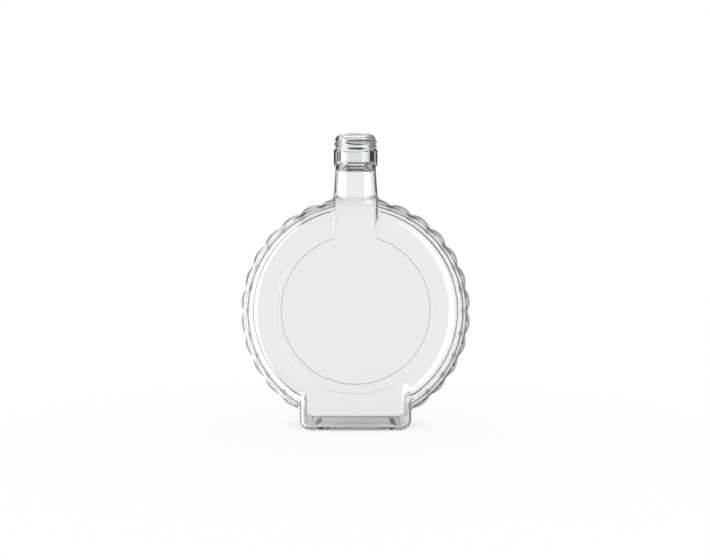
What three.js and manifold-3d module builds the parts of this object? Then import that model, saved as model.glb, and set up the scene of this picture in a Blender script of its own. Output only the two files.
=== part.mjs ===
// A canteen-shaped glass bottle with a scalloped rim, in millimetres, +Z up, front towards -Y.
// The origin is on the standing plane, below the middle of the body. The glass is divided where
// its mould comes apart: neck ring, two blow-mould halves and bottom plate.
import * as THREE from 'three';
import { mergeVertices } from 'three/addons/utils/BufferGeometryUtils.js';
import Module from 'manifold-3d';

const wasm = await Module();
wasm.setup();

// Disc body, turned about a level axis through its centre.
const discCentreHeight = 72.5;
const bodyHalfDepth = 25.0;
const panelRadius = 49.6;
const panelStep = 0.4;
const panelEdgeWidth = 0.5;
const domeRadius = 67.5;
const domeEdgeDepth = 14.0;

// Scalloped rim round the disc: a bowed tread between two narrow ledges beside the domes.
const ledgeWidth = 1.7;
const ledgeStep = 0.4;
const treadBulge = 2.1;
const lobeHeight = 2.15;
const lobeCount = 30;

// Foot that the bottle stands on.
const footHalfWidth = 34.4;
const footSetBack = 0.4;
const footEdgeRadius = 4.5;
const heelHeight = 6.0;
const heelSideInset = 6.0;
const heelFrontInset = 1.2;

// Push-up under the base, and the bearing ring round it.
const pushUpHeight = 1.8;
const pushUpSlope = 3.0;
const pushUpCornerRadius = 4.5;
const bearingSideWidth = 5.0;
const bearingFrontWidth = 8.0;

// Shoulder strip and neck.
const shoulderHalfWidth = 13.7;
const shoulderDraft = 0.04;
const shoulderDrop = 13.0;
const neckSink = 0.25;
const neckLength = 20.0;
const neckBaseRadius = 14.2;
const neckTopRadius = 12.8;

// Screw finish.
const finishHeight = 19.3;
const collarRadius = 14.1;
const collarHeight = 9.9;
const collarChamfer = 0.9;
const collarFootChamfer = 0.4;
const threadWallRadius = 12.9;
const lipRounding = 2.0;
const boreRadius = 9.2;
const boreRounding = 0.5;

// Walls of the glass.
const bodyWall = 3.6;
const rimWall = 4.2;
const baseThickness = 5.6;
const floorRounding = 4.0;
const hollowEdgeRadius = 2.2;

// Fineness of the facets.
const stepsPerLobe = 6;
const hollowSteps = 60;
const domeSteps = 5;
const rimBandSteps = 4;
const cornerSteps = 4;
const heelSteps = 3;
const shoulderSteps = 7;
const roundSteps = 48;
const vertexMerge = 1e-4;

// How far the neck runs down inside the shoulder.
const neckRoot = 12.0;

// Radii, depths and levels that follow from the sizes above.
const ledgeRadius = domeRadius + ledgeWidth;
const ledgeDepth = domeEdgeDepth - ledgeStep;
const rimValleyRadius = ledgeRadius + treadBulge;
const rimCrestRadius = rimValleyRadius + lobeHeight;
const neckBaseHeight = discCentreHeight + rimCrestRadius - neckSink;
const neckTopHeight = neckBaseHeight + neckLength;
const neckRootHeight = neckBaseHeight - shoulderDrop - neckRoot;
const collarTopHeight = neckTopHeight + collarHeight;
const lipHeight = neckTopHeight + finishHeight;

const clearGlass = { color: 0xe9efec, roughness: 0.03, metalness: 0.0 };

// Turns a closed geometry into a solid, with shared vertices and no collapsed faces.
function toSolid(geometry) {
  const bare = new THREE.BufferGeometry();
  bare.setAttribute('position', geometry.getAttribute('position'));
  bare.setIndex(geometry.getIndex());
  const merged = mergeVertices(bare, vertexMerge);
  const index = merged.getIndex().array;
  const triangles = [];
  for (let i = 0; i < index.length; i += 3) {
    const [a, b, c] = [index[i], index[i + 1], index[i + 2]];
    if (a !== b && b !== c && c !== a) triangles.push(a, b, c);
  }
  const mesh = new wasm.Mesh({
    numProp: 3,
    vertProperties: new Float32Array(merged.getAttribute('position').array),
    triVerts: new Uint32Array(triangles),
  });
  return new wasm.Manifold(mesh);
}

// Joins a list of solids.
function joined(solids) {
  return solids.reduce((sum, solid) => sum.add(solid));
}

// A named mesh of clear glass.
function glassMesh(name, solid) {
  const { vertProperties, triVerts } = solid.getMesh();
  const geometry = new THREE.BufferGeometry();
  geometry.setAttribute('position', new THREE.BufferAttribute(vertProperties, 3));
  geometry.setIndex(new THREE.BufferAttribute(triVerts, 1));
  geometry.computeVertexNormals();
  const mesh = new THREE.Mesh(geometry, new THREE.MeshStandardMaterial(clearGlass));
  mesh.name = name;
  return mesh;
}

// A closed skin over a stack of rings with the same number of points, capped at both ends.
function loft(rings) {
  const count = rings[0].length;
  const positions = [];
  const index = [];
  for (const ring of rings) for (const point of ring) positions.push(point.x, point.y, point.z);
  for (let row = 0; row + 1 < rings.length; row += 1) {
    for (let i = 0; i < count; i += 1) {
      const [a, b] = [row * count + i, row * count + ((i + 1) % count)];
      index.push(a, b, b + count, a, b + count, a + count);
    }
  }
  const last = (rings.length - 1) * count;
  for (let i = 1; i + 1 < count; i += 1) {
    index.push(0, i + 1, i);
    index.push(last, last + i, last + i + 1);
  }
  const geometry = new THREE.BufferGeometry();
  geometry.setAttribute('position', new THREE.Float32BufferAttribute(positions, 3));
  geometry.setIndex(index);
  return geometry;
}

// A level rectangle with rounded corners at a height, counter-clockwise seen from above.
function roundedRectangle(halfWidth, halfDepth, radius, height) {
  const points = [];
  const corners = [[1, 1], [-1, 1], [-1, -1], [1, -1]];
  corners.forEach(([sideX, sideY], corner) => {
    for (let step = 0; step <= cornerSteps; step += 1) {
      const angle = (corner + step / cornerSteps) * (Math.PI / 2);
      const x = sideX * (halfWidth - radius) + radius * Math.cos(angle);
      const y = sideY * (halfDepth - radius) + radius * Math.sin(angle);
      points.push(new THREE.Vector3(x, y, height));
    }
  });
  return points;
}

// Mirrors a half profile, from the middle plane out to the front, into one from front to back.
function mirroredProfile(half) {
  const front = half.map((p) => new THREE.Vector2(p.x, -p.y)).reverse();
  return [...front, ...half.slice(1)];
}

// Points of a quarter ellipse from (0, rise) to (run, 0), as shares of a quarter turn.
function quarterEllipse(run, rise, steps) {
  return Array.from({ length: steps + 1 }, (_, step) => {
    const angle = (step / steps) * (Math.PI / 2);
    return new THREE.Vector2(run * Math.sin(angle), rise * Math.cos(angle));
  });
}

// The dome's quarter ellipse from the ledge to the panel's edge, offset inwards by a wall.
function domeArc(wall) {
  const panelEdge = panelRadius + panelEdgeWidth;
  const run = domeRadius - panelEdge - wall;
  const rise = bodyHalfDepth - panelStep - domeEdgeDepth - wall;
  return quarterEllipse(run, rise, domeSteps)
    .map((p) => new THREE.Vector2(panelEdge + p.x, domeEdgeDepth + p.y))
    .reverse();
}

// The rim's tread from the middle plane to the ledge, a circular arc, before it is scalloped.
function rimTread() {
  const bow = (ledgeDepth ** 2 + treadBulge ** 2) / (2 * treadBulge);
  return Array.from({ length: rimBandSteps + 1 }, (_, step) => {
    const depth = (step / rimBandSteps) * ledgeDepth;
    return new THREE.Vector2(rimValleyRadius - bow + Math.sqrt(bow ** 2 - depth ** 2), depth);
  });
}

// The disc's half profile: rim tread, ledge, dome, raised panel edge, panel.
function discHalfProfile() {
  return [
    ...rimTread(),
    ...domeArc(0),
    new THREE.Vector2(panelRadius, bodyHalfDepth),
    new THREE.Vector2(0, bodyHalfDepth),
  ];
}

// The hollow's half profile: a smooth rim, the dome and panel one wall further in.
function hollowHalfProfile() {
  const dome = domeArc(bodyWall);
  const edge = dome[0];
  const rise = rimValleyRadius - rimWall - edge.x;
  const band = quarterEllipse(edge.y, rise, rimBandSteps)
    .map((p) => new THREE.Vector2(edge.x + p.y, p.x));
  return [
    ...band,
    ...dome.slice(1, -1),
    new THREE.Vector2(panelRadius, bodyHalfDepth - bodyWall),
    new THREE.Vector2(0, bodyHalfDepth - bodyWall),
  ];
}

// Swells the rim's tread into lobes, crest at the top, with a cusp between neighbours.
function scallop(geometry) {
  const position = geometry.getAttribute('position');
  const pitch = (2 * Math.PI) / lobeCount;
  for (let i = 0; i < position.count; i += 1) {
    const [x, z] = [position.getX(i), position.getZ(i)];
    const radius = Math.hypot(x, z);
    if (Math.abs(position.getY(i)) >= ledgeDepth || radius <= ledgeRadius) continue;
    const turn = Math.atan2(x, z) / pitch;
    const fromCrest = 2 * (turn - Math.round(turn));
    const swell = 1 + (lobeHeight / treadBulge) * (1 - fromCrest ** 2);
    const scale = (ledgeRadius + (radius - ledgeRadius) * swell) / radius;
    position.setX(i, x * scale);
    position.setZ(i, z * scale);
  }
  return geometry;
}

// A disc turned about the level axis from its half profile, or the hollow inside one.
function discGeometry(halfProfile, steps) {
  return new THREE.LatheGeometry(mirroredProfile(halfProfile), steps);
}

// An upright block up to the disc's centre, with rounded edges and a rounded lower rim.
function footBlock({ wall, floor, rise, sideInset, frontInset, edgeRadius }) {
  const halfWidth = footHalfWidth - wall;
  const halfDepth = bodyHalfDepth - footSetBack - wall;
  const rings = [];
  for (let step = 0; step <= heelSteps; step += 1) {
    const angle = (step / heelSteps) * (Math.PI / 2);
    const inset = 1 - Math.sin(angle);
    const height = floor + rise * (1 - Math.cos(angle));
    const [width, depth] = [halfWidth - sideInset * inset, halfDepth - frontInset * inset];
    rings.push(roundedRectangle(width, depth, edgeRadius, height));
  }
  rings.push(roundedRectangle(halfWidth, halfDepth, edgeRadius, discCentreHeight));
  return toSolid(loft(rings));
}

// The foot with its heel.
function footSolid() {
  return footBlock({
    wall: 0,
    floor: 0,
    rise: heelHeight,
    sideInset: heelSideInset,
    frontInset: heelFrontInset,
    edgeRadius: footEdgeRadius,
  });
}

// The hollow of the foot, above the floor.
function footHollow() {
  return footBlock({
    wall: bodyWall,
    floor: baseThickness,
    rise: floorRounding,
    sideInset: floorRounding,
    frontInset: floorRounding,
    edgeRadius: hollowEdgeRadius,
  });
}

// The push-up under the base: a shallow pocket with sloping sides.
function pushUpSolid() {
  const halfWidth = footHalfWidth - heelSideInset - bearingSideWidth;
  const halfDepth = bodyHalfDepth - footSetBack - heelFrontInset - bearingFrontWidth;
  const slope = pushUpSlope / pushUpHeight;
  const ring = (height) => roundedRectangle(
    halfWidth - slope * height,
    halfDepth - slope * height,
    pushUpCornerRadius,
    height,
  );
  return toSolid(loft([ring(-pushUpHeight), ring(pushUpHeight)]));
}

// The shoulder strip, or the hollow inside it: a side profile, rounded over the top, carried
// across the strip's width. The strip narrows towards the front and the back.
function shoulderSolid(wall) {
  const halfDepth = bodyHalfDepth - wall;
  const halfWidth = shoulderHalfWidth - wall;
  const roundFoot = neckBaseHeight - wall - shoulderDrop;
  const half = [
    new THREE.Vector2(halfDepth, discCentreHeight),
    ...quarterEllipse(shoulderDrop, halfDepth, shoulderSteps)
      .map((p) => new THREE.Vector2(p.y, roundFoot + p.x)),
  ];
  const rear = half.slice(0, -1).map((p) => new THREE.Vector2(-p.x, p.y)).reverse();
  const outline = [new THREE.Vector2(0, discCentreHeight), ...half, ...rear];
  const width = (depth) => halfWidth + shoulderDraft * (halfDepth - Math.abs(depth));
  const ring = (side) => outline.map((p) => new THREE.Vector3(side * width(p.x), p.x, p.y));
  return toSolid(loft([ring(-1), ring(1)]));
}

// A solid turned about the upright axis from (radius, height) points.
function turned(points) {
  const profile = points.map(([radius, height]) => new THREE.Vector2(radius, height));
  return toSolid(new THREE.LatheGeometry(profile, roundSteps).rotateX(Math.PI / 2));
}

// The neck from inside the shoulder to the finish.
function neckSolid() {
  return turned([
    [0, neckRootHeight],
    [neckBaseRadius, neckRootHeight],
    [neckBaseRadius, neckBaseHeight],
    [neckTopRadius, neckTopHeight],
    [0, neckTopHeight],
  ]);
}

// The way through the neck, from the hollow of the body to above the neck.
function neckBore() {
  return turned([
    [0, neckRootHeight],
    [neckBaseRadius - bodyWall, neckRootHeight],
    [neckBaseRadius - bodyWall, neckBaseHeight],
    [boreRadius, neckTopHeight],
    [boreRadius, lipHeight],
    [0, lipHeight],
  ]);
}

// The screw finish: collar, thread wall, rounded lip with a flat sealing land, bore.
function finishSolid() {
  const lip = quarterEllipse(lipRounding, lipRounding, cornerSteps)
    .map((p) => [threadWallRadius - lipRounding + p.y, lipHeight - lipRounding + p.x]);
  return turned([
    [boreRadius, neckTopHeight],
    [collarRadius - collarFootChamfer, neckTopHeight],
    [collarRadius, neckTopHeight + collarFootChamfer],
    [collarRadius, collarTopHeight - collarChamfer],
    [threadWallRadius, collarTopHeight],
    ...lip,
    [boreRadius + boreRounding, lipHeight],
    [boreRadius, lipHeight - boreRounding],
    [boreRadius, neckTopHeight],
  ]);
}

// The scalloped disc, cut off at the standing plane.
function discSolid() {
  const geometry = scallop(discGeometry(discHalfProfile(), lobeCount * stepsPerLobe));
  return toSolid(geometry.translate(0, 0, discCentreHeight)).trimByPlane([0, 0, 1], 0);
}

// The hollow of the disc, cut off at the floor.
function discHollow() {
  const geometry = discGeometry(hollowHalfProfile(), hollowSteps);
  return toSolid(geometry.translate(0, 0, discCentreHeight)).trimByPlane([0, 0, 1], baseThickness);
}

// The whole blown glass below the finish.
function blownGlass() {
  const outside = joined([discSolid(), footSolid(), shoulderSolid(0), neckSolid()]);
  const inside = joined([discHollow(), footHollow(), shoulderSolid(bodyWall), neckBore()]);
  return outside.subtract(inside).subtract(pushUpSolid());
}

const [aboveHeel, base] = blownGlass().splitByPlane([0, 0, 1], heelHeight);
const [rearHalf, frontHalf] = aboveHeel.splitByPlane([0, 1, 0], 0);

const bottle = new THREE.Group();
bottle.name = 'canteen_bottle';
bottle.add(
  glassMesh('neck_finish', finishSolid()),
  glassMesh('front_half', frontHalf),
  glassMesh('rear_half', rearHalf),
  glassMesh('base', base),
);

export default bottle;
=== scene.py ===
"""Clear flint glass canteen bottle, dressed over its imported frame.

The glass is one closed skin: the outside of the blown body, the screw finish with its thread, the
bore and the inside of the hollow. The body's two surfaces are found by casting rays from inside
the glass to where a signed distance is zero. Sizes are in millimetres, as in the part's source,
and turn to metres when a mesh is made.
"""

import logging
import math
from dataclasses import dataclass
from enum import Enum
from typing import Any

import bpy
import numpy as np
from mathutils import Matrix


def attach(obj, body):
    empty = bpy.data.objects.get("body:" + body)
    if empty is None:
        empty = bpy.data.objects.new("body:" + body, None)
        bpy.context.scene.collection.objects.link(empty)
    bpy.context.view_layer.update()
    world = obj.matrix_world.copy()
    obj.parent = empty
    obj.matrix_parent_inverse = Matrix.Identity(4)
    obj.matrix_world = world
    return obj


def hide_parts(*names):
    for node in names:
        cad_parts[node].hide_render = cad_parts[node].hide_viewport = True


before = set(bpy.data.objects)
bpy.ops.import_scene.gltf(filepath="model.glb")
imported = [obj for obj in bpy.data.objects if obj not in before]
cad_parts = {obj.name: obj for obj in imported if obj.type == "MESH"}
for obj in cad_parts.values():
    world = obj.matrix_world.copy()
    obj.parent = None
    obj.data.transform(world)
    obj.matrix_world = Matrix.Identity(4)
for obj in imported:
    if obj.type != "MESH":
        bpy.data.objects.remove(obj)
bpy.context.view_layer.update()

LOG = logging.getLogger("canteen_bottle")
MM = 0.001
TINY = 1e-6
IMAGE_WIDTH = 710
BOUNCES = 32

# Limits on a path's count of mirrors, and the easing of soft edges.
MET_A_MIRROR = 0.5
MET_TWO_MIRRORS = 1.5
SOFT = {"interpolation_type": "SMOOTHSTEP"}

Array = np.ndarray


class Side(Enum):
    """Which side of the glass a skin is on."""

    OUTSIDE = 1
    INSIDE = -1


class Facing(Enum):
    """The half of the bottle that a sheet covers, as the sign of y."""

    FRONT = -1
    REAR = 1


def linear(hex_colour: str) -> tuple[float, float, float, float]:
    """Turn an sRGB colour into the linear values that shaders take.

    Args:
        hex_colour: Six hexadecimal digits, such as "F0F4F1".

    Returns:
        Linear red, green and blue, and an alpha of 1.
    """
    values = [int(hex_colour[i : i + 2], 16) / 255 for i in (0, 2, 4)]
    red, green, blue = (
        v / 12.92 if v <= 0.04045 else ((v + 0.055) / 1.055) ** 2.4 for v in values
    )
    return red, green, blue, 1.0


def add_node(
    tree: Any, kind: str, settings: dict[str | int, Any], links: dict[str | int, Any]
) -> Any:
    """Add one node with its settings and incoming links.

    Args:
        tree: The node tree that gets the node.
        kind: The node's type name.
        settings: Values by the name of a property, or by the name or index of an input.
        links: Output sockets by the name or index of the input that they feed.

    Returns:
        The new node.
    """
    node = tree.nodes.new(kind)
    for name, value in settings.items():
        if isinstance(name, str) and hasattr(node, name):
            setattr(node, name, value)
        else:
            node.inputs[name].default_value = value
    for name, socket in links.items():
        tree.links.new(socket, node.inputs[name])
    return node


def join_round(first: Array, second: Array, reach: Array | float) -> Array:
    """Join two forms with a fillet in the corner between them.

    In words: the smaller distance, less a quarter of the reach where both are equal. The fillet
    fades out where the distances differ by the reach, and the offset of the joined form inwards
    stays even.

    Args:
        first: Signed distance to the first form, negative inside.
        second: Signed distance to the second form.
        reach: How far the fillet runs up each form, one value or one for each point.

    Returns:
        Signed distance to the joined form.
    """
    overlap = np.maximum(reach - np.abs(first - second), 0.0)
    return np.minimum(first, second) - overlap**2 / (4 * np.maximum(reach, TINY))


def meet_round(first: Array, second: Array, radius: Array | float) -> Array:
    """Keep what two forms share, with their common edge rounded off.

    In words: the larger distance, measured from a ball of the given radius that is rolled along
    the inside of both surfaces.

    Args:
        first: Signed distance to the first form, negative inside.
        second: Signed distance to the second form.
        radius: Radius of the rounded edge, one value or one for each point.

    Returns:
        Signed distance to the shared form.
    """
    reach = np.hypot(np.maximum(radius + first, 0.0), np.maximum(radius + second, 0.0))
    return np.minimum(-radius, np.maximum(first, second)) + reach


def ellipse_distance(u: Array, v: Array, half_u: Array | float, half_v: float) -> Array:
    """Give a near signed distance to a quarter ellipse round the origin.

    In words: the scaled radius times its own excess over 1, divided by the length of its gradient.
    Negative coordinates count as zero, so the form goes on straight past both axes.

    Args:
        u: First coordinate.
        v: Second coordinate.
        half_u: Half axis along u.
        half_v: Half axis along v.

    Returns:
        Signed distance, negative inside.
    """
    u = np.maximum(u, TINY)
    v = np.maximum(v, TINY)
    scaled = np.hypot(u / half_u, v / half_v)
    return scaled * (scaled - 1.0) / np.hypot(u / half_u**2, v / half_v**2)


def smooth_step(low: float, high: float, value: Array) -> Array:
    """Rise from 0 at low to 1 at high along the cubic 3t² - 2t³."""
    t = np.clip((value - low) / (high - low), 0.0, 1.0)
    return t * t * (3.0 - 2.0 * t)


@dataclass(frozen=True)
class BlownForm:
    """One surface of the blown body, as a signed distance over x, depth and height.

    Depth is the distance from the middle plane, so the form is the same front and back.
    """

    centre_height: float = 72.5
    panel_radius: float = 49.6
    panel_depth: float = 25.0
    panel_step: float = 0.5
    panel_slope_width: float = 0.42
    panel_rounding: float = 0.15
    dome_start: float = 49.8
    junction_radius: float = 67.6
    junction_depth: float = 14.0
    junction_fillet: float = 0.5
    ledge_radius: float = 69.8
    ledge_depth: float = 13.6
    ledge_rounding: float = 0.8
    rim_valley: float = 71.3
    rim_crest: float = 73.35
    lobe_count: int = 30
    foot_half_width: float = 34.4
    foot_depth: float = 24.5
    foot_floor: float = 0.6
    foot_corner: float = 6.0
    foot_side_edge: float = 4.5
    foot_heel_edge: float = 0.7
    foot_fillet: float = 3.0
    strip_half_width: float = 13.7
    strip_draft: float = 0.04
    strip_depth: float = 25.0
    strip_edge: float = 0.3
    strip_fillet: float = 1.5
    shoulder_top: float = 145.7
    shoulder_drop: float = 13.0
    neck_radius: float = 14.2
    neck_taper: float = 1.4 / 20.0
    neck_fillet: float = 0.8
    fillet_share: float = 0.6

    def base_level(self) -> float:
        """Height of the surface of the base before its middle is lifted."""
        return self.foot_floor

    def rim_radius(self, angle: Array) -> Array:
        """Radius of the rim in the middle plane: parabolic lobes with cusps between them."""
        turns = (angle - math.pi / 2) * self.lobe_count / (2 * math.pi)
        offset = turns - np.round(turns)
        return self.rim_valley + (self.rim_crest - self.rim_valley) * (1 - 4 * offset**2)

    def dome_depth(self, radius: Array) -> Array:
        """Depth of the dome at a distance from the disc's axis: a turned quarter ellipse."""
        run = (radius - self.dome_start) / (self.junction_radius - self.dome_start)
        rise = self.panel_depth - self.panel_step - self.junction_depth
        return self.junction_depth + rise * np.sqrt(1.0 - np.clip(run, 0.0, 1.0) ** 2)

    def neck_radius_at(self, z: Array) -> Array:
        """Radius of the neck at a height: a straight taper above the shoulder."""
        return self.neck_radius - self.neck_taper * np.maximum(z - self.shoulder_top, 0.0)

    def disc(self, x: Array, depth: Array, z: Array) -> Array:
        """Signed distance to the round body.

        In words: a quarter ellipse turned round the disc's axis is joined to a rim with a narrow
        ledge and a bowed tread, whose bow follows the lobes. The flat panel is raised a small
        step on a bevelled edge.

        Args:
            x: Sideways place.
            depth: Distance from the middle plane.
            z: Height.

        Returns:
            Signed distance, negative inside.
        """
        rise = z - self.centre_height
        radius = np.hypot(x, rise)
        core = ellipse_distance(
            radius - self.dome_start,
            depth - self.junction_depth,
            self.junction_radius - self.dome_start,
            self.panel_depth - self.panel_step - self.junction_depth,
        )
        bulge = self.rim_radius(np.arctan2(rise, x)) - self.ledge_radius
        bow = (self.ledge_depth**2 + bulge**2) / (2 * bulge)
        tread = np.hypot(radius - (self.ledge_radius + bulge - bow), depth) - bow
        rim = meet_round(tread, depth - self.ledge_depth, self.ledge_rounding)
        body = join_round(core, rim, self.junction_fillet)
        if self.panel_step == 0.0:
            return body
        bevel = math.hypot(self.panel_step, self.panel_slope_width)
        edge = (radius - self.panel_radius) * self.panel_step / bevel
        edge = edge + (depth - self.panel_depth) * self.panel_slope_width / bevel
        edge = np.maximum(edge, radius - self.panel_radius - 2 * self.panel_slope_width)
        panel = meet_round(depth - self.panel_depth, edge, self.panel_rounding)
        return join_round(body, panel, self.panel_rounding)

    def foot(self, x: Array, depth: Array, z: Array) -> Array:
        """Signed distance to the foot: a rectangle with round lower corners, drawn out in depth.

        Args:
            x: Sideways place.
            depth: Distance from the middle plane.
            z: Height.

        Returns:
            Signed distance, negative inside.
        """
        side = np.abs(x) - (self.foot_half_width - self.foot_corner)
        below = self.foot_floor + self.foot_corner - z
        outline = np.hypot(np.maximum(side, 0.0), np.maximum(below, 0.0))
        outline = outline + np.minimum(np.maximum(side, below), 0.0) - self.foot_corner
        outline = np.maximum(outline, z - self.centre_height)
        rising = smooth_step(self.foot_floor, self.foot_floor + self.foot_corner, z)
        edge = self.foot_heel_edge + (self.foot_side_edge - self.foot_heel_edge) * rising
        return meet_round(outline, depth - self.foot_depth, edge)

    def strip(self, x: Array, depth: Array, z: Array) -> Array:
        """Signed distance to the shoulder strip: a quarter ellipse above a flat drafted front.

        Args:
            x: Sideways place.
            depth: Distance from the middle plane.
            z: Height.

        Returns:
            Signed distance, negative inside.
        """
        outline = ellipse_distance(
            depth,
            z - (self.shoulder_top - self.shoulder_drop),
            self.strip_depth,
            self.shoulder_drop,
        )
        outline = np.maximum(outline, self.centre_height - z)
        half_width = self.strip_half_width + self.strip_draft * (self.strip_depth - depth)
        return meet_round(np.abs(x) - half_width, outline, self.strip_edge)

    def distance(self, x: Array, depth: Array, z: Array) -> Array:
        """Signed distance to the whole form.

        In words: disc, foot, strip and neck are joined in turn. A fillet beside the panel grows
        with the step that it fills, so faces that are flush there stay flat.

        Args:
            x: Sideways place.
            depth: Distance from the middle plane.
            z: Height.

        Returns:
            Signed distance, negative inside.
        """
        radius = np.hypot(x, z - self.centre_height)
        step = self.panel_depth - self.panel_step - self.dome_depth(radius)
        fillet = np.maximum(self.fillet_share * step, 0.0)
        body = join_round(
            self.disc(x, depth, z),
            self.foot(x, depth, z),
            np.minimum(fillet, self.foot_fillet),
        )
        body = np.maximum(body, self.foot_floor - z)
        body = join_round(
            body, self.strip(x, depth, z), np.minimum(fillet, self.strip_fillet)
        )
        # The outer neck counts here for the hollow too, which takes its wall off the whole form.
        neck = np.hypot(x, depth) - BlownForm.neck_radius_at(self, z)
        neck = np.maximum(neck, self.centre_height - z)
        return join_round(body, neck, self.neck_fillet)


@dataclass(frozen=True)
class HollowForm(BlownForm):
    """The inside of the glass, one wall in from a plainer outside, above a thin base.

    The blow leaves the inside smoother: the corner beside the rim is rounder, with less glass,
    and the panel has no step.
    """

    junction_radius: float = 67.95
    junction_fillet: float = 1.5
    ledge_radius: float = 70.1
    rim_valley: float = 71.4
    rim_crest: float = 73.3
    panel_depth: float = 24.5
    panel_step: float = 0.0
    strip_half_width: float = 14.15
    strip_depth: float = 24.5
    wall: float = 1.2
    floor: float = 1.2
    floor_rounding: float = 1.0

    def base_level(self) -> float:
        """Height of the hollow's floor before its middle is lifted."""
        return self.floor

    def neck_radius_at(self, z: Array) -> Array:
        """Radius of the bore below the finish, one wall inside the neck."""
        return super().neck_radius_at(z) - self.wall

    def distance(self, x: Array, depth: Array, z: Array) -> Array:
        """Signed distance to the hollow.

        In words: what lies more than one wall inside the outer form and above the floor.

        Args:
            x: Sideways place.
            depth: Distance from the middle plane.
            z: Height.

        Returns:
            Signed distance, negative inside.
        """
        return meet_round(
            super().distance(x, depth, z) + self.wall, self.floor - z, self.floor_rounding
        )


@dataclass(frozen=True)
class BodyGrid:
    """Columns and rows on which one surface of the body is sampled.

    A column is a half-plane through the disc's axis, a row an angle of rays in that plane that
    leave a point inside the glass. Columns that meet the neck start on its ring, so the body
    joins the neck vertex to vertex.
    """

    form: BlownForm
    columns_below_neck: Array
    rows: Array
    ring_height: float = 147.5
    ring_half_steps: int = 48
    ray_origin: float = 46.0
    ray_reach: float = 52.0
    halvings: int = 44
    panel_rows: tuple[float, ...] = (30.0, 14.0, 0.0)

    def columns(self) -> tuple[Array, Array]:
        """Angles of all columns once round the disc, and which of them start on the neck's ring.

        Returns:
            The angles in radians, and a mask of the columns that start on the ring.
        """
        rise = self.ring_height - self.form.centre_height
        around = np.linspace(0.0, math.pi, self.ring_half_steps + 1)
        ring_radius = float(self.form.neck_radius_at(np.array(self.ring_height)))
        ring = np.arctan2(rise, ring_radius * np.cos(around))
        right = np.radians(self.columns_below_neck)
        left = math.pi - right[::-1]
        all_but_bottom = slice(None, -1)
        angles = np.concatenate([right, ring, left[all_but_bottom]])
        mask = np.zeros(angles.size, dtype=bool)
        mask[right.size : right.size + ring.size] = True
        return angles, mask

    def surface(self) -> tuple[Array, Array]:
        """Places of all vertices of the front half, as x, depth and height.

        In words: along each ray the sign of the distance is halved in until it changes at one
        point. The flat panel is closed by smaller and smaller circles.

        Returns:
            Points of shape (rows, columns, 3), and the mask of the columns on the ring.
        """
        angles, on_ring = self.columns()
        ring_radius = self.form.neck_radius_at(np.array(self.ring_height))
        rise = self.ring_height - self.form.centre_height
        upwards = np.where(on_ring, angles, math.pi / 2)
        ring_x = rise / np.tan(upwards)
        ring_depth = np.sqrt(np.maximum(ring_radius**2 - ring_x**2, 0.0))
        start = np.arctan2(ring_depth, rise / np.sin(upwards) - self.ray_origin)
        start = np.where(on_ring, start, 0.0)
        share = self.rows[:, None] / 90.0
        tilt = start + (math.pi / 2 - start) * share
        low = np.zeros_like(tilt)
        high = np.full_like(tilt, self.ray_reach)
        for _ in range(self.halvings):
            middle = 0.5 * (low + high)
            inside = self.form.distance(*self.place(angles, tilt, middle)) < 0.0
            low = np.where(inside, middle, low)
            high = np.where(inside, high, middle)
        points = np.stack(self.place(angles, tilt, high), axis=-1)
        ring_points = np.stack(
            [ring_x, ring_depth, np.full_like(ring_x, self.ring_height)], axis=-1
        )
        points[0] = np.where(on_ring[:, None], ring_points, points[0])
        circles = np.array(self.panel_rows)[:, None]
        panel = np.stack(
            np.broadcast_arrays(
                circles * np.cos(angles),
                points[-1:, :, 1],
                self.form.centre_height + circles * np.sin(angles),
            ),
            axis=-1,
        )
        return np.concatenate([points, panel]), on_ring

    def place(self, angles: Array, tilt: Array, along: Array) -> tuple[Array, Array, Array]:
        """Place on a ray: out from its origin in the column's plane, tilted towards the front.

        Args:
            angles: Angle of the column.
            tilt: Angle of the ray above the middle plane.
            along: Distance along the ray.

        Returns:
            x, depth and height.
        """
        radius = self.ray_origin + along * np.cos(tilt)
        z = self.form.centre_height + radius * np.sin(angles)
        return radius * np.cos(angles), along * np.sin(tilt), z


@dataclass(frozen=True)
class FootDetail:
    """The push-up of the thin base and the teeth of the knurl along its front and rear edges."""

    push_up_height: float = 1.4
    push_up_half_width: float = 21.0
    push_up_half_depth: float = 12.5
    push_up_side_slope: float = 5.0
    push_up_front_slope: float = 6.2
    tooth_pitch: float = 2.5
    tooth_height: float = 0.6
    teeth_from: float = 20.5
    teeth_run_in: float = 1.0
    teeth_half_width: float = 28.0
    base_reach: float = 1.5

    def push_up(self, points: Array, level: float) -> Array:
        """Lift the middle of a surface of the base.

        In words: the height of the push-up times a smooth step down beside its flat top, which
        fades out above the base.

        Args:
            points: x, depth and height of the skin.
            level: Height of the surface before it is lifted.

        Returns:
            The points with their new heights.
        """
        x, depth, z = np.moveaxis(points, -1, 0)
        width, deep = self.push_up_half_width, self.push_up_half_depth
        lift = 1 - smooth_step(width, width + self.push_up_side_slope, np.abs(x))
        lift = lift * (1 - smooth_step(deep, deep + self.push_up_front_slope, depth))
        near = 1 - smooth_step(level, level + self.base_reach, z)
        return np.stack([x, depth, z + self.push_up_height * lift * near], axis=-1)

    def teeth(self, points: Array, level: float) -> Array:
        """Draw the bearing edge down into teeth.

        In words: a raised cosine along x, as high as a tooth, from the edge's inner side to its
        front.

        Args:
            points: x, depth and height of the outer skin.
            level: Height of the bearing edge.

        Returns:
            The points with their new heights.
        """
        x, depth, z = np.moveaxis(points, -1, 0)
        wave = 0.5 + 0.5 * np.cos(2 * math.pi * x / self.tooth_pitch)
        wave = wave * (np.abs(x) < self.teeth_half_width)
        inner = self.teeth_from
        wave = wave * smooth_step(inner, inner + self.teeth_run_in, depth)
        near = 1 - smooth_step(level, level + self.base_reach, z)
        return np.stack([x, depth, z - self.tooth_height * wave * near], axis=-1)


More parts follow.
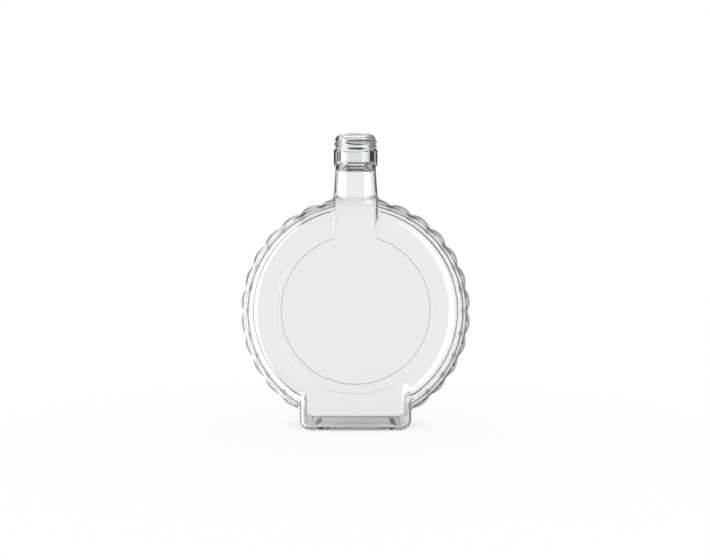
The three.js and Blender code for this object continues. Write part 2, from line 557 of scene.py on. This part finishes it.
@dataclass(frozen=True)
class Corner:
    """A corner of the finish's profile: its place, its rounding and the rows up to the next."""

    radius: float
    height: float
    rounding: float = 0.0
    rows: int = 1


@dataclass(frozen=True)
class ScrewFinish:
    """The neck above the body's ring, the collar, the threaded lip and the bore."""

    neck_top_height: float = 165.7
    neck_top_radius: float = 12.8
    collar_radius: float = 14.1
    collar_underside_rise: float = 0.1
    collar_top: float = 176.4
    collar_chamfer: float = 0.9
    thread_wall_radius: float = 12.9
    thread_wall_rise: float = 0.4
    lip_height: float = 185.0
    lip_rounding: float = 2.0
    bore_radius: float = 9.2
    bore_rounding: float = 0.5
    bore_end_rise: float = 1.5
    bore_flare_drop: float = 3.0
    thread_height: float = 0.95
    thread_pitch: float = 3.18
    thread_half_width: float = 1.15
    thread_first_height: float = 177.95
    thread_start: float = -60.0
    thread_end: float = 570.0
    thread_run_out: float = 70.0
    thread_below_lip: float = 0.4
    arc_rows: int = 4

    def corners(self, outer: BodyGrid, inner: BodyGrid) -> list[Corner]:
        """Corners of the profile from the body's outer ring over the lip to its inner ring.

        Args:
            outer: Grid of the outer skin.
            inner: Grid of the inner skin.

        Returns:
            The corners in order.
        """
        ring = outer.ring_height
        outer_radius = float(outer.form.neck_radius_at(np.array(ring)))
        inner_radius = float(inner.form.neck_radius_at(np.array(ring)))
        neck_top, lip = self.neck_top_height, self.lip_height
        collar, chamfer = self.collar_radius, self.collar_chamfer
        underside = neck_top + self.collar_underside_rise
        wall_foot = self.collar_top + self.thread_wall_rise
        bore_end = neck_top + self.bore_end_rise
        flare_radius = self.neck_top_radius - inner.form.wall
        flare_end = neck_top - self.bore_flare_drop
        return [
            Corner(outer_radius, ring, rows=10),
            Corner(self.neck_top_radius, neck_top, rounding=0.5, rows=2),
            Corner(collar, underside, rounding=0.45, rows=14),
            Corner(collar, self.collar_top - chamfer, rounding=0.5, rows=2),
            Corner(collar - chamfer, self.collar_top, rounding=0.3, rows=1),
            Corner(self.thread_wall_radius, wall_foot, rounding=0.3, rows=34),
            Corner(self.thread_wall_radius, lip, rounding=self.lip_rounding, rows=3),
            Corner(self.bore_radius, lip, rounding=self.bore_rounding, rows=16),
            Corner(self.bore_radius, bore_end, rounding=2.0, rows=3),
            Corner(flare_radius, flare_end, rounding=3.0, rows=10),
            Corner(inner_radius, inner.ring_height),
        ]

    def profile(self, corners: list[Corner]) -> Array:
        """Round the corners off and divide the straight runs between them into rows.

        In words: each corner is replaced by the arc that touches both of its runs.

        Args:
            corners: Corners of the profile in order.

        Returns:
            Radius and height of each row.
        """
        places = np.array([(c.radius, c.height) for c in corners])
        rows = [places[:1]]
        leaving = places[0]
        for before, corner, after, here, last in zip(
            places[:-2], places[1:-1], places[2:], corners[1:-1], corners[:-2]
        ):
            inwards = (before - corner) / np.linalg.norm(before - corner)
            outwards = (after - corner) / np.linalg.norm(after - corner)
            half_angle = 0.5 * math.acos(float(np.clip(inwards @ outwards, -1.0, 1.0)))
            reach = here.rounding / math.tan(half_angle)
            first, final = corner + reach * inwards, corner + reach * outwards
            steps = np.linspace(0.0, 1.0, last.rows + 1)[1:, None]
            rows.append(leaving + steps * (first - leaving))
            bisector = (inwards + outwards) / np.linalg.norm(inwards + outwards)
            centre = corner + bisector * here.rounding / math.sin(half_angle)
            spread = np.linspace(0.0, 1.0, self.arc_rows + 1)[1:, None]
            chord = first + spread * (final - first) - centre
            length = np.linalg.norm(chord, axis=1, keepdims=True)
            rows.append(centre + here.rounding * chord / length)
            leaving = final
        steps = np.linspace(0.0, 1.0, corners[-2].rows + 1)[1:, None]
        rows.append(leaving + steps * (places[-1] - leaving))
        return np.concatenate(rows)

    def thread(self, turn: Array, z: Array) -> Array:
        """Height of the thread above its wall.

        In words: a raised cosine across the nearest turn of a right-hand helix, which fades in at
        its start and out at its end.

        Args:
            turn: Angle round the axis, anticlockwise seen from above.
            z: Height.

        Returns:
            What is added to the radius.
        """
        turn = np.mod(turn, 2 * math.pi)
        climbed = (z - self.thread_first_height) / self.thread_pitch - turn / (2 * math.pi)
        nearest = np.round(climbed)
        off = np.abs(climbed - nearest) * self.thread_pitch / self.thread_half_width
        ridge = 0.5 + 0.5 * np.cos(math.pi * np.minimum(off, 1.0))
        travelled = np.degrees(turn) + 360.0 * nearest
        run = self.thread_run_out
        fade = smooth_step(self.thread_start, self.thread_start + run, travelled)
        fade = fade * (1 - smooth_step(self.thread_end - run, self.thread_end, travelled))
        lip = self.lip_height
        top = 1 - smooth_step(lip - self.lip_rounding, lip - self.thread_below_lip, z)
        return self.thread_height * ridge * fade * top

    def surface(self, outer: BodyGrid, inner: BodyGrid) -> Array:
        """Places of all vertices between the body's two rings.

        Args:
            outer: Grid of the outer skin.
            inner: Grid of the inner skin.

        Returns:
            Points of shape (rows, columns, 3) in x, y and height, rings included.
        """
        profile = self.profile(self.corners(outer, inner))
        steps = 2 * outer.ring_half_steps
        around = np.linspace(0.0, 2 * math.pi, steps, endpoint=False)
        radius, z = profile[:, :1], profile[:, 1:]
        outside = np.arange(len(profile)) <= np.argmax(profile[:, 1])
        thread = self.thread(-around, np.broadcast_to(z, (len(z), steps)))
        radius = radius + np.where(outside[:, None], thread, 0.0)
        x, y, z = np.broadcast_arrays(radius * np.cos(around), -radius * np.sin(around), z)
        return np.stack([x, y, z], axis=-1)


@dataclass(frozen=True)
class FlintGlass:
    """Clear flint glass, soda-lime glass without colour, as it leaves the mould.

    The mould and the fire polish leave it glossy with a faint slow waviness and a very light
    haze here and there, and thick places show a trace of green. The finish, which a neck ring
    presses, is a little greyer. Lengths are in millimetres, and the density counts per metre.
    """

    name: str
    tint: str
    pressed_tint: str
    pressed_from: tuple[float, float]
    depth_tint: str
    depth_density: float
    ior: float
    haze: tuple[float, float]
    haze_limits: tuple[float, float]
    haze_patch: float
    wave_length: float
    wave_height: float

    def material(self) -> bpy.types.Material:
        """Build the node material.

        Returns:
            The new material.
        """
        material = bpy.data.materials.new(self.name)
        material.use_nodes = True
        tree = material.node_tree
        tree.nodes.clear()
        place = add_node(tree, "ShaderNodeTexCoord", {}, {}).outputs["Object"]
        patches = add_node(
            tree,
            "ShaderNodeTexNoise",
            {"Scale": 1.0 / (self.haze_patch * MM), "Detail": 2.0},
            {"Vector": place},
        )
        haze = add_node(
            tree,
            "ShaderNodeMapRange",
            {
                1: self.haze_limits[0],
                2: self.haze_limits[1],
                3: self.haze[0],
                4: self.haze[1],
            },
            {0: patches.outputs[0]},
        )
        waves = add_node(
            tree,
            "ShaderNodeTexNoise",
            {"Scale": 1.0 / (self.wave_length * MM), "Detail": 1.0},
            {"Vector": place},
        )
        bump = add_node(
            tree,
            "ShaderNodeBump",
            {"Strength": 1.0, "Distance": self.wave_height * MM},
            {"Height": waves.outputs[0]},
        )
        height = add_node(tree, "ShaderNodeSeparateXYZ", {}, {0: place}).outputs["Z"]
        pressed = add_node(
            tree,
            "ShaderNodeMapRange",
            {1: self.pressed_from[0] * MM, 2: self.pressed_from[1] * MM},
            {0: height},
        )
        tint = add_node(
            tree,
            "ShaderNodeMix",
            {"data_type": "RGBA", 6: linear(self.tint), 7: linear(self.pressed_tint)},
            {0: pressed.outputs[0]},
        )
        glass = add_node(
            tree,
            "ShaderNodeBsdfPrincipled",
            {"IOR": self.ior, "Transmission Weight": 1.0},
            {
                "Base Color": tint.outputs[2],
                "Roughness": haze.outputs[0],
                "Normal": bump.outputs[0],
            },
        )
        inside = add_node(
            tree,
            "ShaderNodeVolumeAbsorption",
            {"Color": linear(self.depth_tint), "Density": self.depth_density},
            {},
        )
        add_node(
            tree,
            "ShaderNodeOutputMaterial",
            {},
            {"Surface": glass.outputs[0], "Volume": inside.outputs[0]},
        )
        return material


# Blown in the mould: thin walls look colourless, thick places gather a grey green, and edges
# show as bright and dark lines.
BLOWN_GLASS = FlintGlass(
    name="flint_glass_blown",
    tint="FEFEFE",
    pressed_tint="F6F9F6",
    pressed_from=(163.0, 167.0),
    depth_tint="E8F0EA",
    depth_density=30.0,
    ior=1.5,
    haze=(0.0, 0.006),
    haze_limits=(0.35, 0.7),
    haze_patch=30.0,
    wave_length=22.0,
    wave_height=0.02,
)


@dataclass
class CanteenBottle:
    """The whole bottle: one closed skin of glass over the four solids of the frame."""

    name: str = "bottle_glass"
    outer: BlownForm = BlownForm()
    hollow: HollowForm = HollowForm()
    detail: FootDetail = FootDetail()
    finish: ScrewFinish = ScrewFinish()
    points_per_tooth: int = 4
    beside_valley: float = 0.3
    angle_digits: int = 4

    def outer_grid(self) -> BodyGrid:
        """Columns and rows of the outside, close together at edges, lobes and the knurl.

        In words: columns and rows are angles in degrees, in runs of even steps that are named for
        what they cross.

        Returns:
            The grid.
        """
        knurl_x = np.arange(0.0, 28.8, self.detail.tooth_pitch / self.points_per_tooth)
        knurl = -np.degrees(np.arctan2(self.outer.centre_height, knurl_x))
        corner = np.arange(-68.1, -57.0, 0.4)
        lobes = np.arange(-56.4, 72.1, 1.2)
        valleys = np.arange(-48.0, 72.1, 12.0)
        before, after = valleys - self.beside_valley, valleys + self.beside_valley
        strip = np.arange(72.6, 78.0, 0.25)
        neck = np.arange(78.1, 79.3, 0.16)
        tread = np.arange(0.0, 24.1, 4.0)
        tread_edge = [26.5, 28.5, 30.0, 31.0, 32.0, 32.8]
        ledge = np.arange(33.4, 37.1, 0.6)
        junction = np.arange(37.6, 45.0, 0.7)
        dome_foot = [45.5, 46.5, 48.0, 50.0]
        dome = [52.5, 55.0, 58.0, 62.0, 66.0, 70.0, 74.0, 77.0, 79.3]
        panel_edge = np.arange(80.1, 82.3, 0.2)
        panel = [82.6, 85.0, 90.0]
        rows = [tread, tread_edge, ledge, junction, dome_foot, dome, panel_edge, panel]
        return BodyGrid(
            self.outer,
            self.in_order(knurl, corner, lobes, before, after, strip, neck),
            np.concatenate(rows),
        )

    def inner_grid(self) -> BodyGrid:
        """Columns and rows of the inside, which is plainer than the outside.

        Returns:
            The grid.
        """
        floor_x = np.arange(0.0, 30.0, 2.0)
        drop = self.hollow.centre_height - self.hollow.floor
        floor = -np.degrees(np.arctan2(drop, floor_x))
        corner = np.arange(-66.0, -57.0, 0.7)
        lobes = np.arange(-56.0, 72.1, 2.4)
        strip = np.arange(72.5, 78.4, 0.4)
        neck = np.arange(78.6, 80.2, 0.25)
        tread = np.arange(0.0, 28.1, 4.0)
        junction = np.arange(30.0, 44.1, 1.0)
        dome_foot = [45.5, 47.0, 49.5, 52.0, 55.0]
        dome = np.arange(58.0, 79.1, 3.0)
        panel = [81.0, 83.5, 86.0, 90.0]
        return BodyGrid(
            self.hollow,
            self.in_order(floor, corner, lobes, strip, neck),
            np.concatenate([tread, junction, dome_foot, dome, panel]),
        )

    def in_order(self, *runs: Array) -> Array:
        """Put runs of angles into one rising row, each angle once."""
        return np.unique(np.round(np.concatenate(runs), self.angle_digits))

    def skin(self, grid: BodyGrid, side: Side, first: int) -> tuple[Array, Array, Array, Array]:
        """Build one surface of the body, front and rear sheets joined in the middle plane.

        Args:
            grid: Grid of the surface.
            side: Whether its faces look out of the bottle or into its hollow.
            first: Index of its first vertex.

        Returns:
            Vertices, quads, triangles, and the neck's ring of indices from +X round the front.
        """
        points, on_ring = grid.surface()
        level = grid.form.base_level()
        points = self.detail.push_up(points, level)
        if side is Side.OUTSIDE:
            points = self.detail.teeth(points, level)
        rows, columns = points.shape[:2]
        sheets = []
        for facing in (Facing.FRONT, Facing.REAR):
            sheet = points * np.array([1.0, facing.value, 1.0])
            sheets.append(sheet.reshape(-1, 3))
        count = rows * columns
        front = first + np.arange(count).reshape(rows, columns)
        rear = front + count
        ring_columns = np.flatnonzero(on_ring)
        open_columns = ring_columns[1:-1]
        shared = np.ones(columns, dtype=bool)
        shared[open_columns] = False
        rear[0] = np.where(shared, front[0], rear[0])
        quads, triangles = [], []
        for sheet, facing in ((front, Facing.FRONT), (rear, Facing.REAR)):
            sheet[-1] = sheet[-1, 0]
            beside = np.roll(sheet, -1, axis=1)
            faces = np.stack([sheet[:-2], beside[:-2], beside[1:-1], sheet[1:-1]], axis=-1)
            tips = np.stack([sheet[-2], beside[-2], sheet[-1]], axis=-1)
            outwards = facing.value * side.value < 0
            quads.append(faces.reshape(-1, 4)[:, :: 1 if outwards else -1])
            triangles.append(tips.reshape(-1, 3)[:, :: 1 if outwards else -1])
        ring = np.concatenate([front[0, ring_columns], rear[0, open_columns[::-1]]])
        return np.concatenate(sheets), np.concatenate(quads), np.concatenate(triangles), ring

    def build(self) -> bpy.types.Object:
        """Build the closed skin of the bottle.

        Returns:
            The new object, at the origin and in metres.
        """
        outer, inner = self.outer_grid(), self.inner_grid()
        outside, outer_quads, outer_tips, outer_ring = self.skin(outer, Side.OUTSIDE, 0)
        inside, inner_quads, inner_tips, inner_ring = self.skin(
            inner, Side.INSIDE, len(outside)
        )
        tube = self.finish.surface(outer, inner)
        between = tube[1:-1]
        first = len(outside) + len(inside)
        tube_index = first + np.arange(between[..., 0].size).reshape(between.shape[:2])
        tube_index = np.concatenate([outer_ring[None], tube_index, inner_ring[None]])
        beside = np.roll(tube_index, -1, axis=1)
        tube_quads = np.stack(
            [tube_index[:-1], tube_index[1:], beside[1:], beside[:-1]], axis=-1
        )
        quads = np.concatenate([outer_quads, inner_quads, tube_quads.reshape(-1, 4)])
        triangles = np.concatenate([outer_tips, inner_tips])
        vertices = np.concatenate([outside, inside, between.reshape(-1, 3)])
        return make_object(self.name, vertices, quads, triangles)

    def dress(self, piece: bpy.types.Object) -> None:
        """Give the skin its glass and tie it to the frame.

        Args:
            piece: The skin.
        """
        piece.data.materials.append(BLOWN_GLASS.material())
        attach(piece, "root")
        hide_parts("neck_finish", "front_half", "rear_half", "base")


def make_object(
    name: str, vertices: Array, quads: Array, triangles: Array
) -> bpy.types.Object:
    """Put arrays of vertices and faces into a smooth mesh object.

    Args:
        name: Name of the object.
        vertices: Places in millimetres.
        quads: Faces with four corners.
        triangles: Faces with three corners.

    Returns:
        The new object, linked to the scene.
    """
    used, corners = np.unique(
        np.concatenate([quads.ravel(), triangles.ravel()]), return_inverse=True
    )
    corners = corners.astype(np.int32)
    sizes = np.concatenate([np.full(len(quads), 4), np.full(len(triangles), 3)])
    starts = np.concatenate([[0], np.cumsum(sizes)[:-1]]).astype(np.int32)
    mesh = bpy.data.meshes.new(name)
    mesh.vertices.add(len(used))
    mesh.vertices.foreach_set("co", (vertices[used] * MM).astype(np.float32).ravel())
    mesh.loops.add(len(corners))
    mesh.loops.foreach_set("vertex_index", corners)
    mesh.polygons.add(len(sizes))
    mesh.polygons.foreach_set("loop_start", starts)
    mesh.polygons.foreach_set("use_smooth", np.ones(len(sizes), dtype=bool))
    mesh.update(calc_edges=True)
    mesh.validate()
    piece = bpy.data.objects.new(name, mesh)
    bpy.context.scene.collection.objects.link(piece)
    return piece


@dataclass(frozen=True)
class Studio:
    """White surroundings with a bright panel on the left, a pale floor and the camera.

    Lengths are in metres and levels are strengths, where 1 is white. Limits of the ceiling, room
    and card are parts of a direction of length 1. Those of the panel are measured at a distance
    of 1 to the left.
    """

    camera_distance: float = 0.55
    camera_height: float = 0.0925
    lens: float = 43.46
    sensor: float = 36.0
    shift: float = -0.6
    floor_half: float = 4.0
    floor_drop: float = 0.00005
    floor_colour: str = "FAFAFA"
    # Painted shade: the floor's white glow is a little lower near the bottle and lowest in an oval
    # under the base, so the lit paper and its real shadow show there.
    floor_white: tuple[float, float] = (0.9, 1.0)
    floor_reach: tuple[float, float] = (0.1, 0.5)
    shade: float = 0.5
    shade_reach: tuple[float, float] = (0.006, 0.038)
    shade_stretch: tuple[float, float, float] = (0.7, 1.0, 1.0)
    sky: float = 0.9
    ceiling: float = 0.12
    ceiling_rise: tuple[float, float] = (0.27, 0.42)
    room: tuple[float, float] = (0.7, 0.3)
    room_across: tuple[float, float] = (-0.25, 0.3)
    room_back: tuple[float, float] = (0.1, 0.6)
    deep: float = 0.03
    card: float = 0.03
    card_aside: tuple[float, float] = (0.1, 0.4)
    card_rise: tuple[float, float] = (0.11, 0.17)
    card_fade: float = 0.03
    panel: float = 4.5
    panel_forward: tuple[float, float] = (-0.7, 0.33)
    panel_up: tuple[float, float] = (-1.9, 1.5)
    panel_fade: float = 0.12

    def set_camera(self) -> None:
        """Stand the camera in front of the bottle, level, at the photograph's height."""
        camera = bpy.data.cameras.new("camera")
        camera.lens = self.lens
        camera.sensor_width = self.sensor
        camera.shift_x = self.shift / IMAGE_WIDTH
        eye = bpy.data.objects.new("camera", camera)
        eye.location = (0.0, -self.camera_distance, self.camera_height)
        eye.rotation_euler = (math.pi / 2, 0.0, 0.0)
        bpy.context.scene.collection.objects.link(eye)
        bpy.context.scene.camera = eye

    def set_world(self) -> None:
        """Surround the bottle with a white backdrop, and with a room that only mirrors show.

        In words: a path that has met no mirror sees white, and where the glass bent it upwards, a
        dim ceiling. A diffuse bounce sees the sky's level, and a mirrored path sees the room.
        """
        world = bpy.data.worlds.new("studio")
        world.use_nodes = True
        tree = world.node_tree
        tree.nodes.clear()
        path = add_node(tree, "ShaderNodeLightPath", {}, {}).outputs
        towards = add_node(tree, "ShaderNodeTexCoord", {}, {}).outputs["Generated"]
        part = add_node(tree, "ShaderNodeSeparateXYZ", {}, {0: towards}).outputs
        mirrored = add_node(
            tree,
            "ShaderNodeMath",
            {"operation": "GREATER_THAN", 1: MET_A_MIRROR},
            {0: path["Glossy Depth"]},
        )
        start, end = self.ceiling_rise
        backdrop = add_node(
            tree,
            "ShaderNodeMapRange",
            {**SOFT, 1: start, 2: end, 3: 1.0, 4: self.ceiling},
            {0: part["Z"]},
        )
        backdrop = add_node(
            tree,
            "ShaderNodeMath",
            {"operation": "MAXIMUM"},
            {0: backdrop.outputs[0], 1: path["Is Camera Ray"]},
        )
        seen = add_node(
            tree,
            "ShaderNodeMix",
            {"data_type": "FLOAT"},
            {
                0: mirrored.outputs[0],
                2: backdrop.outputs[0],
                3: self.mirrored_room(tree, part, path),
            },
        )
        strength = add_node(
            tree,
            "ShaderNodeMix",
            {"data_type": "FLOAT", 3: self.sky},
            {0: path["Is Diffuse Ray"], 2: seen.outputs[0]},
        )
        light = add_node(
            tree,
            "ShaderNodeBackground",
            {"Color": linear("FFFFFF")},
            {"Strength": strength.outputs[0]},
        )
        add_node(tree, "ShaderNodeOutputWorld", {}, {"Surface": light.outputs[0]})
        bpy.context.scene.world = world

    def mirrored_room(self, tree: Any, part: Any, path: Any) -> Any:
        """Give the level that a mirrored path sees.

        In words: at the back the room is light on the left and dim on the right, and it falls off
        to deep shade towards the camera. A path that was mirrored once also sees a low dark card
        on both sides and a tall bright panel on the left.

        Args:
            tree: The node tree.
            part: Sockets of the parts of the path's direction.
            path: Sockets of the path's own facts.

        Returns:
            Socket of the level.
        """
        once = add_node(
            tree,
            "ShaderNodeMath",
            {"operation": "LESS_THAN", 1: MET_TWO_MIRRORS},
            {0: path["Glossy Depth"]},
        )
        start, end = self.room_across
        across = add_node(
            tree,
            "ShaderNodeMapRange",
            {**SOFT, 1: start, 2: end, 3: self.room[0], 4: self.room[1]},
            {0: part["X"]},
        )
        start, end = self.room_back
        room = add_node(
            tree,
            "ShaderNodeMapRange",
            {**SOFT, 1: start, 2: end, 3: self.deep},
            {0: part["Y"], 4: across.outputs[0]},
        )
        aside = add_node(tree, "ShaderNodeMath", {"operation": "ABSOLUTE"}, {0: part["X"]})
        carded = once
        low, high = self.card_rise
        for place, ends, levels in (
            (aside.outputs[0], self.card_aside, (0.0, 1.0)),
            (part["Z"], (low, low + self.card_fade), (0.0, 1.0)),
            (part["Z"], (high, high + self.card_fade), (1.0, 0.0)),
        ):
            edge = add_node(
                tree,
                "ShaderNodeMapRange",
                {**SOFT, 1: ends[0], 2: ends[1], 3: levels[0], 4: levels[1]},
                {0: place},
            )
            carded = add_node(
                tree,
                "ShaderNodeMath",
                {"operation": "MULTIPLY"},
                {0: carded.outputs[0], 1: edge.outputs[0]},
            )
        room = add_node(
            tree,
            "ShaderNodeMix",
            {"data_type": "FLOAT", 3: self.card},
            {0: carded.outputs[0], 2: room.outputs[0]},
        )
        left = add_node(
            tree, "ShaderNodeMath", {"operation": "MULTIPLY", 1: -1.0}, {0: part["X"]}
        )
        left = add_node(
            tree, "ShaderNodeMath", {"operation": "MAXIMUM", 1: TINY}, {0: left.outputs[0]}
        )
        shown = once
        for along, ends in ((part["Y"], self.panel_forward), (part["Z"], self.panel_up)):
            shown = add_node(
                tree,
                "ShaderNodeMath",
                {"operation": "MULTIPLY"},
                {0: shown.outputs[0], 1: self.between(tree, along, left.outputs[0], ends)},
            )
        level = add_node(
            tree,
            "ShaderNodeMix",
            {"data_type": "FLOAT", 3: self.panel},
            {0: shown.outputs[0], 2: room.outputs[0]},
        )
        return level.outputs[0]

    def between(self, tree: Any, along: Any, left: Any, ends: tuple[float, float]) -> Any:
        """Tell where a direction meets an upright panel on the left, along one of its sides.

        In words: the direction's part along that side, divided by its part to the left, lies
        between the panel's ends, with a soft edge.

        Args:
            tree: The node tree.
            along: Socket of the direction's part along the panel's side.
            left: Socket of its part to the left.
            ends: The panel's ends along that side, at a distance of 1 to the left.

        Returns:
            Socket of a value from 0 outside to 1 inside.
        """
        middle, half = 0.5 * (ends[0] + ends[1]), 0.5 * (ends[1] - ends[0])
        place = add_node(tree, "ShaderNodeMath", {"operation": "DIVIDE"}, {0: along, 1: left})
        away = add_node(
            tree, "ShaderNodeMath", {"operation": "SUBTRACT", 1: middle}, {0: place.outputs[0]}
        )
        away = add_node(tree, "ShaderNodeMath", {"operation": "ABSOLUTE"}, {0: away.outputs[0]})
        inside = add_node(
            tree,
            "ShaderNodeMapRange",
            {**SOFT, 1: half - self.panel_fade, 2: half + self.panel_fade, 3: 1.0, 4: 0.0},
            {0: away.outputs[0]},
        )
        return inside.outputs[0]

    def paper(self) -> bpy.types.Material:
        """Build the floor's matt white paper.

        In words: seen straight or through the glass it is mostly a plain white glow. The rest is
        lit paper with the bottle's real shadow. Near the bottle, and most in an oval drawn under
        the base, the glow gives way to it as a painted shade. Mirrored paths pass through it.

        Returns:
            The new material.
        """
        material = bpy.data.materials.new("matt_white_paper")
        material.use_nodes = True
        tree = material.node_tree
        tree.nodes.clear()
        paper = add_node(
            tree, "ShaderNodeBsdfDiffuse", {"Color": linear(self.floor_colour)}, {}
        )
        glow = add_node(tree, "ShaderNodeEmission", {"Color": linear("FFFFFF")}, {})
        unseen = add_node(tree, "ShaderNodeBsdfTransparent", {}, {})
        path = add_node(tree, "ShaderNodeLightPath", {}, {}).outputs
        white = add_node(
            tree,
            "ShaderNodeMath",
            {"operation": "MAXIMUM"},
            {0: path["Is Camera Ray"], 1: path["Is Transmission Ray"]},
        )
        mirrored = add_node(
            tree,
            "ShaderNodeMath",
            {"operation": "GREATER_THAN", 1: MET_A_MIRROR},
            {0: path["Glossy Depth"]},
        )
        place = add_node(tree, "ShaderNodeTexCoord", {}, {}).outputs["Object"]
        # Painted shade: the glow's share drops near the bottle and further in a fixed oval under
        # the base.
        for stretch, reach, levels, easing in (
            ((1.0, 1.0, 1.0), self.floor_reach, self.floor_white, {}),
            (self.shade_stretch, self.shade_reach, (self.shade, 1.0), SOFT),
        ):
            drawn = add_node(
                tree, "ShaderNodeVectorMath", {"operation": "MULTIPLY", 1: stretch}, {0: place}
            )
            away = add_node(
                tree, "ShaderNodeVectorMath", {"operation": "LENGTH"}, {0: drawn.outputs[0]}
            )
            share = add_node(
                tree,
                "ShaderNodeMapRange",
                {**easing, 1: reach[0], 2: reach[1], 3: levels[0], 4: levels[1]},
                {0: away.outputs["Value"]},
            )
            white = add_node(
                tree,
                "ShaderNodeMath",
                {"operation": "MULTIPLY"},
                {0: white.outputs[0], 1: share.outputs[0]},
            )
        mixed = add_node(
            tree,
            "ShaderNodeMixShader",
            {},
            {0: white.outputs[0], 1: paper.outputs[0], 2: glow.outputs[0]},
        )
        shown = add_node(
            tree,
            "ShaderNodeMixShader",
            {},
            {0: mirrored.outputs[0], 1: mixed.outputs[0], 2: unseen.outputs[0]},
        )
        add_node(tree, "ShaderNodeOutputMaterial", {}, {"Surface": shown.outputs[0]})
        return material

    def lay_floor(self) -> None:
        """Lay the floor just below the knurl, as a part of the stage."""
        half = self.floor_half
        mesh = bpy.data.meshes.new("floor")
        corners = [(-half, -half), (half, -half), (half, half), (-half, half)]
        mesh.from_pydata([(x, y, -self.floor_drop) for x, y in corners], [], [(0, 1, 2, 3)])
        mesh.materials.append(self.paper())
        floor = bpy.data.objects.new("floor", mesh)
        bpy.context.scene.collection.objects.link(floor)


def main() -> None:
    """Build the bottle, dress it and set the studio round it."""
    logging.basicConfig(level=logging.INFO)
    scene = bpy.context.scene
    scene.view_settings.view_transform = "Standard"
    scene.cycles.max_bounces = BOUNCES
    scene.cycles.glossy_bounces = BOUNCES
    scene.cycles.transmission_bounces = BOUNCES
    studio = Studio()
    studio.set_camera()
    studio.set_world()
    studio.lay_floor()
    bottle = CanteenBottle()
    piece = bottle.build()
    bottle.dress(piece)
    mesh = piece.data
    LOG.info("%s: %d vertices, %d faces", piece.name, len(mesh.vertices), len(mesh.polygons))


if __name__ == "__main__":
    main()
